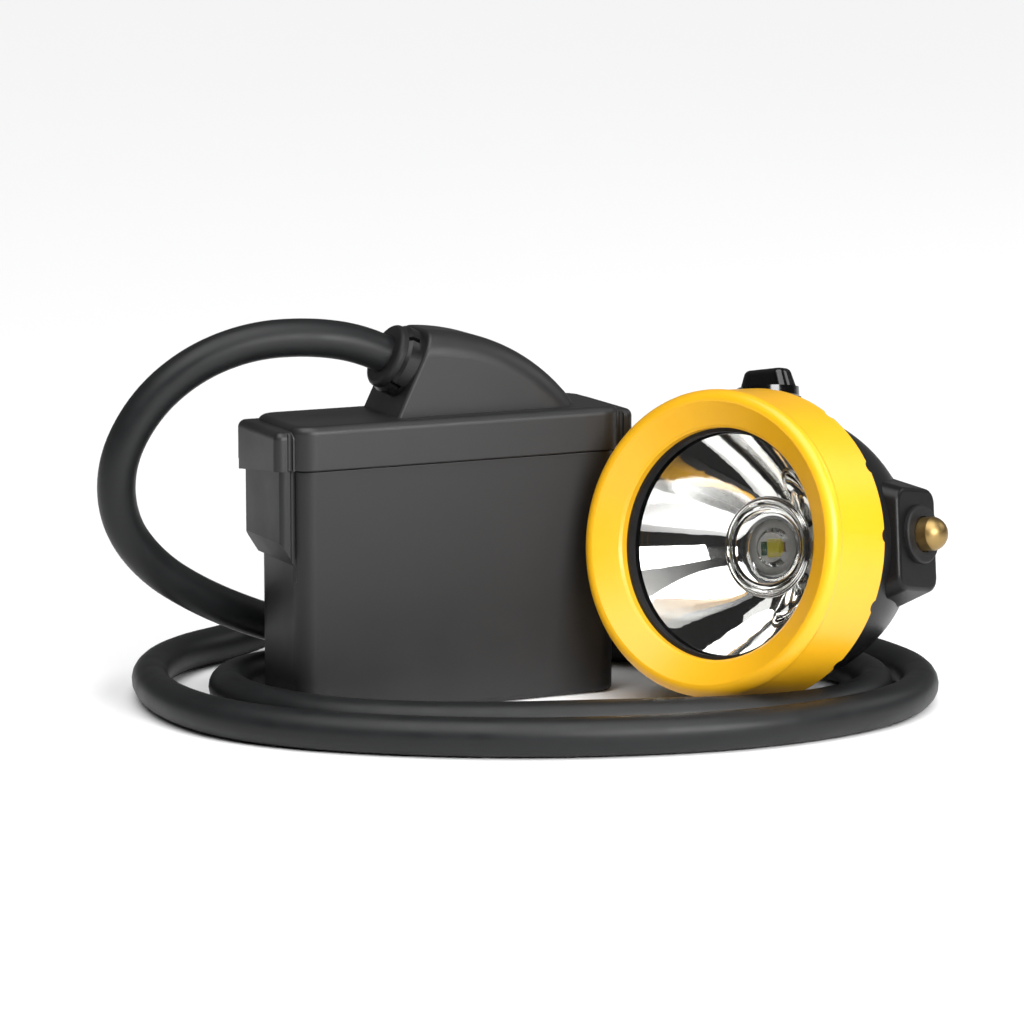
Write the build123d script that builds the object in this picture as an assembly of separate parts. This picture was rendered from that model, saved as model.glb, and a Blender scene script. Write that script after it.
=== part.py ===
from build123d import *
import os
from math import asin, cos, pi, radians, sin, sqrt, tan

# A miner's cap lamp: a belt battery pack, its cable, and the lamp head that the cable feeds.
# Frame: origin at the middle of the pack's base, X along the pack's width, -Y its front, +Z up.
# The head is modelled in its own frame: origin at the middle of the bezel's lip, +Z along the beam,
# +Y towards the switch knob, +X towards the charging contact.

# ---- battery pack ----
cell_r = 9.2                 # the pack is built round its cells
cell_h = 65.0
cell_count = 4
cell_gap = 0.12
cell_step_gap = 0.02         # between neighbouring cells
side_room = 1.95             # from the cells to the case's long walls
pack_wall = 2.4
pack_corner = 4.6            # upright corners of the case
strip_t = 0.2
strip_w = 7.0
tray_floor = 0.6
tray_h = 6.0
spacer_h = 5.0
spacer_low = 3.0             # spacer's top below the cells' tops
spacer_end = 5.0             # its two rails run this far past the end cells' middles
spacer_room = 1.1            # from a rail to the case's long wall
rib_w = 2.8                  # wall ribs between the cells that carry the spacer
peg_r = 1.2
peg_in = 3.75                # pegs that carry the board, in from the case's long walls
board_t = 1.0
board_x = 2.0
board_in_x = 8.56            # board's ends, in from the pillars' middles
board_in_y = 2.4             # and its sides, in from the case's long walls
fuse_in = 6.0                # fuse, in from the board's end
pillar_in_y = 5.55           # corner pillars for the tie screws, in from the case's long sides
pillar_in_x = 3.05           # and in from the end walls' inner faces
pillar_gap = 0.3517          # between a pillar and the end cell
pillar_r = 3.2
screw_r = 1.45
screw_hole_r = 1.6
screw_head_r = 2.7
screw_head_h = 2.6
head_pocket_r = 3.1
head_pocket_d = 3.2
insert_r = 2.3
insert_h = 6.0

seam_under = 6.8             # seam between case and lid, below the cells' tops
seam_gap = 0.15
seam_round = 0.4
lid_h = 11.05                # lid's top above the seam
lid_over = 1.15              # how far the lid stands out past the case
lid_wall = 2.2
rim_inset = 1.3              # step of the case rim that the lid slides over
rim_h = 7.4                  # height of that rim above the seam
fit_gap = 0.15               # between parts that slide together
base_round = 1.4
lid_round = 2.0

ear_out = 3.55               # belt ribs on both ends of the case
ear_front = 3.05             # from the case's front face back to the rib
ear_low = 23.4               # rib's foot and its full thickness, below the seam
ear_full = 17.8
lid_ear_out = 5.2            # the lid's own ribs over them
lid_ear_front = 2.9
lid_ear_drop = 1.25          # rib top below the lid's top
skirt_drop = 2.4             # the rib's skirt is this much longer at the back
skirt_t = 1.4
valley_r = 0.75              # upright groove between each rib and the corner beside it

hump_left = -15.3            # cable hump on the lid: foot of its inclined face
hump_top_x = -5.2            # top of that face, and its height above the lid
hump_top_rise = 20.55
hump_crest_x = 15.2
hump_crest_rise = 15.85
hump_right = 35.0
hump_front = 9.5
hump_back = 12.1
hump_round = 6.0
hump_edge = 0.9
hump_wall = 2.2
hump_sink = 1.2              # the hump's foot reaches this far into the lid's top

# ---- cable and its gland on the pack ----
cable_r = 4.7
gland_rise = 11.95           # where the gland's axis leaves the inclined face, above the lid
gland_nut_r = 8.75
gland_nut_h = 4.0
gland_bore_r = 6.5
bush_r = 6.35
bush_gap = 0.05
gland_in = 6.0
tail_in = 10.0
collar_front_r = 8.1         # the bush's round collar in front of the nut
collar_front_h = 2.0
slot_w = 1.3
slot_d = 1.5
slot_count = 4

# ---- lamp head ----
head_tuck = 31.5                  # the bezel's far side lies this far back over the pack's end
head_close = 1.0                  # and its middle this much nearer than its own radius to the front
head_lift = 4.4                   # and this much higher than its own radius
head_yaw = 63.57                  # beam turned from the pack's front towards its left
head_pitch = 10.35                # beam raised
head_roll = 10.0                  # head rolled about its beam

tube_r = 34.2                # front tube of the housing, inside the bezel
thread_gap = 0.2
bezel_wall = 4.4
bezel_draft = 1.5
ridge_in = 2.9
ridge_z = 3.8
bezel_back_z = -16.3
lip_in = 6.1                 # lip inside the bezel's bore
lip_back_z = -2.4
notch_count = 14
notch_r = 1.8                # grip notches, right through the bezel's back edge
notch_turn = 0.0

seal_cover = 0.6             # tube's rim past the seal
seal_leg = 2.4               # from the lip back to the lens
seal_show = 0.9              # ring of the seal that shows inside the lip
lens_edge = 1.5
lens_t = 2.0
flange_t = 1.2

mouth_in = 0.4               # reflector's mouth inside the seal
well_r = 12.3                # and the ring that it runs down to
well_z = -22.8
reflector_t = 1.1
dish_r = 11.1
eye_r = 7.1                  # hole that the LED looks through
eye_z = -25.5
reflector_back_z = -26.6

housing_wall = 2.4
body_out = 1.0               # the housing's body past its tube
shoulder_z = -16.6
back_z = -47.5
back_in = 11.2               # flat of the back, in from the tube
oring_z = -12.0
oring_wire_r = 0.85

led_board_r = 9.5
led_board_t = 1.6
led_board_z = -27.4          # front face of the LED board
chip_side = 2.3
plate_in = 8.2               # heat sink's plate, in from the tube
plate_t = 2.5
fin_r = 15.0
fin_back_z = -38.0
fin_gap = 2.0
post_in = 4.0                # its posts, in from the plate's edge
post_r = 3.2
driver_r = 18.0
driver_z = -40.0
driver_t = 1.6
board_post_in = 2.6

knob_z = -25.0               # switch, about the head's +Y axis
boss_out = 2.0               # its boss past the body
boss_in = 5.7                # and in from the tube
boss_r = 8.2
knob_gap = 0.5               # under the knob
knob_base_r = 7.7
knob_base_h = 2.0
knob_h = 6.6
knob_grip_w = 15.2
knob_grip_t = 7.2
knob_taper = 3.8
shaft_r = 2.5
shaft_gap = 0.05
shaft_in_knob = 3.8
shaft_in = 6.0               # below the boss
bushing_r = 4.4
bushing_gap = 0.05
washer_t = 0.8

block_past = 2.4             # block for the charging contact, past the tube
block_foot = 10.2
block_half = 12.4
block_front_z = -25.4
block_back_z = -42.6
block_corner = 3.6
contact_y = 1.2
contact_z = -34.8
contact_r = 4.15
contact_gap = 0.05
contact_proud = 7.4          # contact's tip past the block
contact_guide = 1.2          # its head inside the block
contact_travel = 1.5
spring_room = 3.9
spring_turns = 3
spring_wire_r = 0.35
spring_in = 1.25             # the spring's line inside the contact's head
well_floor = 1.5
well_wall = 2.4
stem_r = 1.6
stem_gap = 0.1
stem_past = 1.2
clip_r = 3.0
clip_t = 0.6
collar_wall = 2.75
collar_h = 1.4

head_gland_z = -36.0         # cable gland on the head's other side
gland_boss_r = 8.8
gland_boss_past = 2.8
gland_boss_back = 7.2
head_nut_h = 4.2
boot_past = 5.8
boot_r0 = 7.0
boot_r1 = 5.9

hook_w = 15.0                # helmet hook on the head's back
hook_h = 27.0
hook_t = 1.6
hook_stand = 5.2
hook_holes = (-9, 5)

# ---- cable route: pack gland, loop, two turns round the pack, head gland ----
floor_z = cable_r
cable_lead = 7.0             # straight run out of the pack gland
head_lead = 11.0             # straight run into the head's boot
loop = [(-34, 1.5, 92.3), (-48.5, 3.5, 91.8), (-62.5, 6, 86.7), (-74, 8.5, 77), (-81, 11, 63),
        (-79.5, 14, 48), (-70, 17, 35.5), (-55.5, 20.5, 26), (-38, 26.5, 17.8), (-20, 39, 11),
        (1, 51, 5.5)]
outer_turn = [(25, 58), (50, 57.5), (73, 47), (90, 31), (102, 12), (109, -8), (112.3, -28),
              (110.5, -47), (101.5, -64), (86, -77), (64, -83.5), (40, -84.5), (15, -79.5),
              (-9, -71), (-32, -58), (-52, -42), (-66, -23), (-71, -2), (-69.5, 20), (-62, 40),
              (-48, 56), (-29, 65)]
crossing = [(-11, 68, 9), (4, 63, 17), (18, 54, 17), (31, 44, 9.5)]
inner_turn = [(43, 32.5), (55, 20.5), (68, 11), (82, 1.5), (93, -12), (99.5, -30), (98, -48),
              (88, -63), (72, -71.5), (55, -72), (36, -67), (15, -60), (-7, -52.5), (-27, -42.5),
              (-42, -30), (-51, -15), (-54, 1), (-52.5, 13), (-46.5, 22), (-37.5, 27.5),
              (-26, 28.5), (-13, 27.8), (0, 26.5)]
head_side = [(12, 27, 7.5), (22.5, 28.3, 13), (33.5, 27.8, 18.5), (44.8, 24, 23.5)]
arc_share = 0.45             # of the shorter run, used by the arc at each point


def on_floor(points):
    return [(x, y, floor_z) for x, y in points]


def rounded_box(w, d, z0, z1, corner, x=0.0, y=0.0):
    block = extrude(RectangleRounded(w, d, corner), z1 - z0)
    return Pos(x, y, z0) * block


def tube_z(r, z0, z1, x=0.0, y=0.0):
    return Pos(x, y, (z0 + z1) / 2) * Cylinder(r, abs(z1 - z0))


def along(origin, direction):
    """A location whose +Z runs along the given direction."""
    return Plane(origin=origin, z_dir=direction).location


def revolved(points):
    """A closed outline of (radius, height) points turned about Z."""
    outline = make_face(Polyline(*[(r, 0, z) for r, z in points], close=True))
    return revolve(outline, Axis.Z)


def dome(r, z0, z1):
    """Arc from the rim at z0 up to the axis at z1, centred on the axis."""
    rise = z1 - z0
    radius = (r ** 2 + rise ** 2) / (2 * rise)
    half = asin(r / radius) / 2
    return ThreePointArc((r, z0), (radius * sin(half), z1 - radius * (1 - cos(half))), (0, z1))


# ---------------------------------------------------------------- places
cell_step = 2 * cell_r + cell_step_gap
cell_xs = [(i - (cell_count - 1) / 2) * cell_step for i in range(cell_count)]
cell_floor = pack_wall + tray_floor + strip_t
cell_top = cell_floor + cell_h
inner_d = 2 * (cell_r + side_room)
inner_corner = pack_corner - pack_wall
pack_d = inner_d + 2 * pack_wall
pillar_y = pack_d / 2 - pillar_in_y
pillar_x = cell_xs[-1] + sqrt((cell_r + pillar_r + pillar_gap) ** 2 - pillar_y ** 2)
inner_w = 2 * (pillar_x + pillar_in_x)
pack_w = inner_w + 2 * pack_wall
seam_z = cell_top - seam_under
lid_top_z = seam_z + lid_h
rim_top = seam_z + rim_h
lid_in_top = lid_top_z - lid_wall
spacer_z = cell_top - spacer_low
board_low = cell_top + 2 * strip_t
board_top = board_low + board_t
strip_length = cell_xs[-1] - cell_xs[0] + strip_w
board_w = 2 * (pillar_x - board_in_x)
pillars = [(sx * pillar_x, sy * pillar_y) for sx in (-1, 1) for sy in (-1, 1)]
ear_low_z = seam_z - ear_low
ear_full_z = seam_z - ear_full
ear_y0 = -pack_d / 2 + ear_front
lid_ear_y0 = -pack_d / 2 - lid_over + lid_ear_front
lid_back_y = pack_d / 2 + lid_over

hump_face_top = (hump_top_x, lid_top_z + hump_top_rise)
hump_crest = (hump_crest_x, lid_top_z + hump_crest_rise)
face_dx = hump_face_top[0] - hump_left
face_dz = hump_top_rise
face_len = sqrt(face_dx ** 2 + face_dz ** 2)
gland_dir = Vector(-face_dz / face_len, 0, face_dx / face_len)
gland_at = Vector(hump_left + face_dx * gland_rise / face_dz, 0, lid_top_z + gland_rise)
gland_loc = along(gland_at, gland_dir)
gland_front = gland_nut_h + collar_front_h
pack_exit = gland_at + gland_dir * gland_front

bezel_bore_r = tube_r + thread_gap
bezel_back_r = bezel_bore_r + bezel_wall
bezel_front_r = bezel_back_r - bezel_draft
ridge_r = bezel_front_r - ridge_in
lip_r = bezel_bore_r - lip_in
seal_out_r = tube_r - seal_cover
lens_r = seal_out_r - lens_edge
seal_in_r = lip_r - seal_show
mouth_r = seal_in_r - mouth_in
lens_z = lip_back_z - seal_leg
flange_z = lens_z - lens_t
tube_z0 = flange_z - flange_t
body_r = tube_r + body_out
inner_r = tube_r - housing_wall
back_r = tube_r - back_in
oring_r = bezel_bore_r - oring_wire_r
plate_r = tube_r - plate_in
plate_z = led_board_z - led_board_t
plate_back_z = plate_z - plate_t
post_at = plate_r - post_in
board_post_at = driver_r - board_post_in
boss_top = body_r + boss_out
boss_low = tube_r - boss_in
knob_low = boss_top + knob_gap
knob_top = knob_low + knob_h
shaft_low = boss_low - shaft_in
shaft_top = knob_low + shaft_in_knob
block_out = tube_r + block_past
contact_seat = block_out - contact_guide
contact_tip = block_out + contact_proud
guide_low = contact_seat - spring_room
well_in = guide_low - well_floor
stem_low = well_in - stem_past
spring_r = contact_r - spring_in
collar_r = contact_r + 0.3 + collar_wall
gland_boss_out = tube_r + gland_boss_past
gland_boss_in = tube_r - gland_boss_back
head_tail_in = gland_boss_in - 0.5
boot_out = gland_boss_out + head_nut_h + boot_past

head_at = (pack_w / 2 + bezel_back_r - head_tuck, -pack_d / 2 - bezel_back_r + head_close,
           bezel_back_r + head_lift)
yaw = radians(head_yaw)
pitch = radians(head_pitch)
beam = Vector(-sin(yaw) * cos(pitch), -cos(yaw) * cos(pitch), sin(pitch))
head_loc = Plane(origin=head_at, x_dir=(cos(yaw), -sin(yaw), 0), z_dir=beam).location
head_loc = head_loc * Rot(0, 0, head_roll)


def head_point(x, y, z):
    return (head_loc * Pos(x, y, z)).position


def head_axis(x, y, z):
    return head_point(x, y, z) - head_point(0, 0, 0)


SIDE_X = Rot(0, 90, 0)       # turns a +Z shape to +X
SIDE_Y = Rot(-90, 0, 0)      # turns a +Z shape to +Y
head_exit = head_point(-boot_out, 0, head_gland_z)


# ---------------------------------------------------------------- battery pack

def prism_y(points, y0, y1):
    """An outline of (x, z) points carried from y0 to y1."""
    face = make_face(Polyline(*[(x, y0, z) for x, z in points], close=True))
    return extrude(face, amount=y1 - y0, dir=(0, 1, 0))


def case_ear(side):
    x0 = side * (pack_w / 2 - 1.5)
    x1 = side * (pack_w / 2)
    x2 = side * (pack_w / 2 + ear_out)
    top = seam_z
    rib = prism_y([(x0, ear_low_z), (x1, ear_low_z), (x2, ear_full_z), (x2, top), (x0, top)],
                  ear_y0, pack_d / 2)
    front = rib.edges().filter_by(Axis.Z).filter_by(lambda e: abs(e.center().X - x2) < 0.01)
    return fillet(front, 1.3)


def pack_case():
    body = rounded_box(pack_w, pack_d, 0, seam_z, pack_corner)
    body = fillet(body.faces().sort_by(Axis.Z)[0].edges(), base_round)
    body = fillet(body.faces().sort_by(Axis.Z)[-1].edges(), seam_round)
    body += case_ear(-1) + case_ear(1)
    for side in (-1, 1):
        body -= tube_z(valley_r, ear_low_z - 4, seam_z + 1, side * (pack_w / 2 + 0.4), ear_y0)
    body += rounded_box(pack_w - 2 * rim_inset, pack_d - 2 * rim_inset, seam_z - 1, rim_top,
                        pack_corner - rim_inset)
    body -= rounded_box(inner_w, inner_d, pack_wall, rim_top + 1, inner_corner)
    low = pack_wall + tray_h + 1
    high = spacer_z - spacer_h
    for x in cell_xs[1:]:
        for side in (-1, 1):
            y = side * (inner_d / 2 - rib_w / 2 + 0.3)
            body += Pos(x - cell_r, y, (low + high) / 2) * Box(3, rib_w, high - low)
    for x, y in pillars:
        body += tube_z(pillar_r, pack_wall - 0.5, seam_z, x, y)
    for x, y in pillars:
        body -= tube_z(screw_hole_r, -1, seam_z + 1, x, y)
        body -= tube_z(head_pocket_r, -1, head_pocket_d, x, y)
    return body


def hump_outline(y, inset=0.0, low=0.0):
    """The hump's side outline, drawn in by the inset, down to the given height."""
    slope = face_dx / face_dz
    shift = inset * sqrt(1 + slope ** 2)
    top = hump_face_top[1] - inset
    left_top = hump_face_top[0] + shift - inset * slope
    left_low = hump_left + shift + slope * (low - lid_top_z)
    crest = (hump_crest[0] - inset * 0.35, hump_crest[1] - inset * 0.94)
    right = hump_right - 1.35 * inset
    right_z = lid_top_z - 0.2
    edge = (Polyline((right, y, right_z), (right + 0.4, y, low), (left_low, y, low), (left_top, y, top))
            + ThreePointArc((left_top, y, top), (crest[0], y, crest[1]), (right, y, right_z)))
    return make_face(edge)


def hump_solid(inset, low):
    depth = hump_front + hump_back - 2 * inset
    return extrude(hump_outline(inset - hump_front, inset, low), amount=depth, dir=(0, 1, 0))


def hump_shell():
    """The hump's outside: long top edges well rounded, inclined face with a narrow round."""
    hump = hump_solid(0, lid_top_z - hump_sink)
    rim = hump.edges().filter_by(GeomType.CIRCLE)
    hump = fillet(rim, hump_round)
    face = hump.faces().sort_by(lambda f: (f.normal_at() - gland_dir).length)[0]
    edges = face.edges().filter_by(lambda e: e.center().Z > lid_top_z)
    return fillet(edges, hump_edge)


def lid_ear(side):
    x0 = side * (pack_w / 2 - 1)
    x2 = side * (pack_w / 2 + lid_ear_out)
    block = Pos((x0 + x2) / 2, (lid_ear_y0 + lid_back_y) / 2, (seam_z + seam_gap + lid_top_z - lid_ear_drop) / 2)
    block = block * Box(abs(x2 - x0), lid_back_y - lid_ear_y0, lid_top_z - lid_ear_drop - seam_z - seam_gap)
    outer = block.edges().filter_by(lambda e: abs(e.center().X - x0) > 0.01 and e.center().Z > seam_z + 1)
    block = fillet(outer, lid_round)
    skirt = make_face(Polyline((x2, lid_ear_y0 + 4, seam_z + 1), (x2, lid_ear_y0 + 4, seam_z + seam_gap),
                               (x2, lid_back_y - 1.9, seam_z - skirt_drop),
                               (x2, lid_back_y - 1.9, seam_z + 1), close=True))
    return block + extrude(skirt, amount=skirt_t, dir=(-side, 0, 0))


def pack_lid():
    low = seam_z + seam_gap
    lid = rounded_box(pack_w + 2 * lid_over, pack_d + 2 * lid_over, low, lid_top_z, pack_corner + lid_over)
    lid = fillet(lid.faces().sort_by(Axis.Z)[-1].edges(), lid_round)
    lid = fillet(lid.faces().sort_by(Axis.Z)[0].edges(), seam_round)
    lid += lid_ear(-1) + lid_ear(1)
    for side in (-1, 1):
        lid -= tube_z(valley_r, low - 1, lid_top_z, side * (pack_w / 2 + lid_over + 0.4), lid_ear_y0)
    lid += hump_shell()
    grow = fit_gap - rim_inset
    lid -= rounded_box(pack_w + 2 * grow, pack_d + 2 * grow, low - 1, lid_in_top, pack_corner + grow)
    lid -= hump_solid(hump_wall, lid_in_top - 0.5)
    for x, y in pillars:
        lid += tube_z(pillar_r - 0.3, low, lid_in_top + 0.5, x, y)
        lid -= tube_z(insert_r, low - 1, low + insert_h + 0.5, x, y)
    lid -= gland_loc * Pos(0, 0, -2) * Cylinder(gland_bore_r, 12)
    return lid


def lid_gasket():
    w = pack_w - 2 * rim_inset
    d = pack_d - 2 * rim_inset
    ring = rounded_box(w, d, rim_top, lid_in_top, pack_corner - rim_inset)
    ring -= rounded_box(inner_w, inner_d, rim_top - 1, lid_in_top + 1, inner_corner)
    return ring


def battery_cells():
    cells = []
    for x in cell_xs:
        can = fillet(tube_z(cell_r, cell_floor, cell_top - 0.8, x).edges(), 0.8)
        cells.append(can + tube_z(2.8, cell_top - 1.6, cell_top, x))
    return Compound(cells)


def cell_hollows(z0, z1):
    hollow = Part()
    for x in cell_xs:
        hollow += tube_z(cell_r + cell_gap, z0, z1, x)
    for x, y in pillars:
        hollow += tube_z(pillar_r + 0.2, z0 - 20, z1 + 20, x, y)
    return hollow


def cell_cradle():
    tray = rounded_box(inner_w - 5, inner_d - 2.2, pack_wall, pack_wall + tray_h, 1.5)
    tray -= cell_hollows(pack_wall + tray_floor, pack_wall + tray_h + 1)
    return tray - Pos(0, 0, cell_floor) * Box(strip_length + 0.4, strip_w + 0.4, 2 * strip_t)


def cell_spacer():
    z1 = spacer_z
    length = 2 * (cell_xs[-1] + spacer_end)
    plate = rounded_box(length, inner_d - 2 * spacer_room, z1 - spacer_h, z1, 1.5)
    plate -= cell_hollows(z1 - spacer_h - 1, z1 + 1)
    for x in cell_xs[1:]:
        for side in (-1, 1):
            y = side * (inner_d / 2 - peg_in)
            plate += tube_z(peg_r, z1 - 1, cell_top + 2 * strip_t, x - cell_r, y)
    return plate


def cell_strips():
    low = Pos(0, 0, cell_floor - strip_t / 2) * Box(strip_length, strip_w, strip_t)
    high = Pos(0, 0, cell_top + strip_t / 2) * Box(strip_length, strip_w, strip_t)
    return Compound([low, high])


def protection_board():
    return Pos(board_x, 0, (board_low + board_top) / 2) * Box(board_w, inner_d - 2 * board_in_y, board_t)


def board_parts():
    """Two switching transistors, a controller and a fuse, standing up into the hump."""
    parts = [Pos(x, 3.4, board_top + 0.55) * Box(4.9, 5.9, 1.1) for x in (13, 20)]
    parts.append(Pos(16, -3.6, board_top + 0.7) * Box(5, 4.4, 1.4))
    fuse_x = board_x + board_w / 2 - fuse_in
    parts.append(Pos(fuse_x, -3, board_top + 0.6) * Box(3.2, 4.6, 1.2))
    return Compound(parts)


def tie_screws():
    screws = []
    for x, y in pillars:
        screw = tube_z(screw_head_r, head_pocket_d - screw_head_h, head_pocket_d, x, y)
        screw += tube_z(screw_r, head_pocket_d, seam_z + insert_h, x, y)
        socket = extrude(RegularPolygon(1.25, 6), 1.4)
        screws.append(screw - Pos(x, y, head_pocket_d - screw_head_h) * socket)
    return Compound(screws)


def lid_inserts():
    low = seam_z + seam_gap
    nuts = []
    for x, y in pillars:
        nuts.append(tube_z(insert_r, low, low + insert_h, x, y) - tube_z(screw_r, low - 1, low + insert_h + 1, x, y))
    return Compound(nuts)


def slotted_nut(outer, bore, height):
    nut = Cylinder(outer, height, align=(Align.CENTER, Align.CENTER, Align.MIN))
    nut = chamfer(nut.faces().sort_by(Axis.Z)[-1].edges(), 0.9)
    for i in range(slot_count):
        nut -= Rot(0, 0, 45 + 360 / slot_count * i) * Pos(outer, 0, height) * Box(2 * slot_d, slot_w, 2 * height - 2.4)
    return nut - Cylinder(bore, 3 * height)


def pack_gland_nut():
    return gland_loc * slotted_nut(gland_nut_r, gland_bore_r, gland_nut_h)


def pack_gland_bush():
    """Rubber bush through the nut, with a round collar in front of it."""
    bush = tube_z(bush_r, -gland_in, gland_nut_h)
    collar = tube_z(collar_front_r, gland_nut_h, gland_front)
    bush += fillet(collar.faces().sort_by(Axis.Z)[-1].edges(), 1.2)
    return gland_loc * (bush - Cylinder(cable_r + bush_gap, 60))


def pack_cable_tail():
    return gland_loc * tube_z(cable_r, -tail_in, gland_front)


def pack_wires():
    """Two conductors from the cable's cut end down to the board."""
    wires = []
    for side in (-1, 1):
        start = gland_loc * Pos(0, side * 2, -tail_in)
        p0 = start.position
        p1 = p0 - gland_dir * 6
        p2 = Vector(p1.X + 1.5, side * 3, board_top + 3.5)
        p3 = Vector(p2.X, side * 3, board_top)
        path = FilletPolyline(p0, p1, p2, p3, radius=1.6)
        wires.append(sweep(Plane(origin=p0, z_dir=path % 0) * Circle(0.9), path=path))
    return Compound(wires)


# ---------------------------------------------------------------- cable
route = ([tuple(pack_exit), tuple(pack_exit + gland_dir * cable_lead)] + loop + on_floor(outer_turn)
         + crossing + on_floor(inner_turn) + head_side
         + [tuple(head_exit - head_axis(1, 0, 0) * head_lead), tuple(head_exit)])


def lamp_cable():
    points = [Vector(*p) for p in route]
    runs = [b - a for a, b in zip(points, points[1:])]
    radii = []
    for a, b in zip(runs, runs[1:]):
        radii.append(arc_share * min(a.length, b.length) / tan(radians(a.get_angle(b)) / 2))
    path = FilletPolyline(*points, radius=radii)
    print("cable radii:", [round(r, 1) for r in radii])
    print("cable length:", round(path.length, 1))
    print("pack exit:", [round(v, 2) for v in pack_exit], "head exit:", [round(v, 2) for v in head_exit])
    cable = sweep(Plane(origin=points[0], z_dir=path % 0) * Circle(cable_r), path=path)
    print("cable volume ratio:", round(cable.volume / (pi * cable_r ** 2 * path.length), 4))
    return cable


# ---------------------------------------------------------------- lamp head
def bezel_ring():
    side = (bezel_front_r, 0.6)
    outline = (Polyline((lip_r, -0.5), (lip_r + 0.6, 0.2), (ridge_r, ridge_z))
               + ThreePointArc((ridge_r, ridge_z), (ridge_r + 2.15, ridge_z - 0.45), side)
               + Polyline(side, (bezel_back_r, bezel_back_z + 0.9), (bezel_back_r - 0.9, bezel_back_z),
                          (bezel_bore_r, bezel_back_z), (bezel_bore_r, lip_back_z), (lip_r, lip_back_z),
                          (lip_r, -0.5)))
    outline = Plane.XZ * outline
    ring = revolve(make_face(outline), Axis.Z)
    for i in range(notch_count):
        turn = notch_turn + 360 / notch_count * i
        notch = Pos(bezel_back_r, 0, bezel_back_z) * SIDE_X * Cylinder(notch_r, 2 * (bezel_wall + thread_gap))
        ring -= Rot(0, 0, turn) * notch
    return ring


def lens_gasket():
    z = lip_back_z
    return revolved([(seal_in_r, z), (seal_out_r, z), (seal_out_r, flange_z), (lens_r + 0.1, flange_z),
                     (lens_r + 0.1, lens_z), (seal_in_r, lens_z)])


def lens():
    disc = Pos(0, 0, lens_z - lens_t / 2) * Cylinder(lens_r, lens_t - 0.02)
    return chamfer(disc.edges(), 0.25)


def bowl_z(r):
    """Height of the reflector's parabola at a radius."""
    share = (mouth_r ** 2 - well_r ** 2) / (flange_z - well_z)
    return well_z + (r ** 2 - well_r ** 2) / share


def reflector():
    steps = [well_r + (mouth_r - well_r) * k / 4 for k in range(5)]
    inner = Spline(*[(r, bowl_z(r)) for r in reversed(steps)])
    outer = Spline(*[(r + reflector_t * 0.75, bowl_z(r) - reflector_t) for r in steps])
    bead = ThreePointArc((well_r, well_z), ((well_r + dish_r) / 2, well_z + 0.55), (dish_r, well_z - 0.1))
    dish = ThreePointArc((dish_r, well_z - 0.1), (dish_r - 1.1, (well_z + eye_z) / 2 - 0.5), (eye_r, eye_z))
    first = (steps[0] + reflector_t * 0.75, bowl_z(steps[0]) - reflector_t)
    last = (steps[-1] + reflector_t * 0.75, bowl_z(steps[-1]) - reflector_t)
    base = Polyline((eye_r, eye_z), (eye_r, reflector_back_z), (first[0], reflector_back_z), first)
    flange = Polyline(last, (seal_out_r, flange_z - flange_t), (seal_out_r, flange_z), (mouth_r, flange_z))
    outline = Plane.XZ * (inner + bead + dish + base + outer + flange)
    return revolve(make_face(outline), Axis.Z)


def housing_arc(gap):
    """Side outline of the housing's body, drawn in by the gap."""
    a = (body_r - gap, shoulder_z - gap * 0.3)
    b = (body_r - 0.3 - gap, -22.0)
    c = (tube_r - 1.0 - gap, -33.0)
    d = (tube_r - 4.7 - gap * 0.9, -42.4 + gap * 0.3)
    e = (tube_r - 7.2 - gap * 0.7, -46.0 + gap * 0.8)
    f = (back_r, back_z + gap)
    return (Polyline(a, b) + ThreePointArc(b, c, d) + ThreePointArc(d, e, f)), a, f


def lamp_housing():
    skin, skin_top, skin_end = housing_arc(0)
    line = Polyline(skin_end, (0, back_z), (0, tube_z0), (tube_r, tube_z0), (tube_r, shoulder_z), skin_top)
    shell = revolve(make_face(Plane.XZ * (skin + line)), Axis.Z)
    shell += side_block()
    shell += Pos(0, boss_top / 2 + boss_low / 2, knob_z) * SIDE_Y * Cylinder(boss_r, boss_top - boss_low)
    inside = revolve(make_face(Plane.XZ * Polyline(
        (0, back_z + housing_wall), (back_r - 0.5, back_z + housing_wall), (inner_r - 6.5, -43.9),
        (inner_r - 4.2, -41.5), (inner_r - 1.8, -36.0), (inner_r - 0.7, -31.0), (inner_r, -25.0), (inner_r, tube_z0 + 1), (0, tube_z0 + 1),
        close=True)), Axis.Z)
    shell -= inside
    shell += Pos(0, (boss_top + boss_low) / 2, knob_z) * SIDE_Y * Cylinder(boss_r, boss_top - boss_low)
    shell += contact_well()
    boss_mid = Pos(-(gland_boss_out + gland_boss_in) / 2, 0, head_gland_z)
    shell += boss_mid * SIDE_X * Cylinder(gland_boss_r, gland_boss_out - gland_boss_in)
    for i in range(4):
        x = post_at * cos(radians(45 + 90 * i))
        y = post_at * sin(radians(45 + 90 * i))
        shell += tube_z(post_r, back_z + housing_wall - 0.5, plate_back_z, x, y)
        shell -= tube_z(1.3, plate_back_z - 9, plate_back_z + 1, x, y)
    shell -= Pos(0, boss_low + 4.5, knob_z) * SIDE_Y * Cylinder(bushing_r + bushing_gap, 12)
    shell -= boss_mid * SIDE_X * Cylinder(gland_bore_r, gland_boss_out - gland_boss_in + 4)
    pocket = Pos(guide_low + 4, contact_y, contact_z) * SIDE_X
    shell -= pocket * Cylinder(contact_r + contact_gap, 8)
    shell -= Pos(well_in, contact_y, contact_z) * SIDE_X * Cylinder(stem_r + stem_gap, 8)
    shell -= Pos(well_in - 3, contact_y, contact_z) * SIDE_X * Cylinder(clip_r + 0.5, 6)
    shell -= oring_groove()
    return shell


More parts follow.
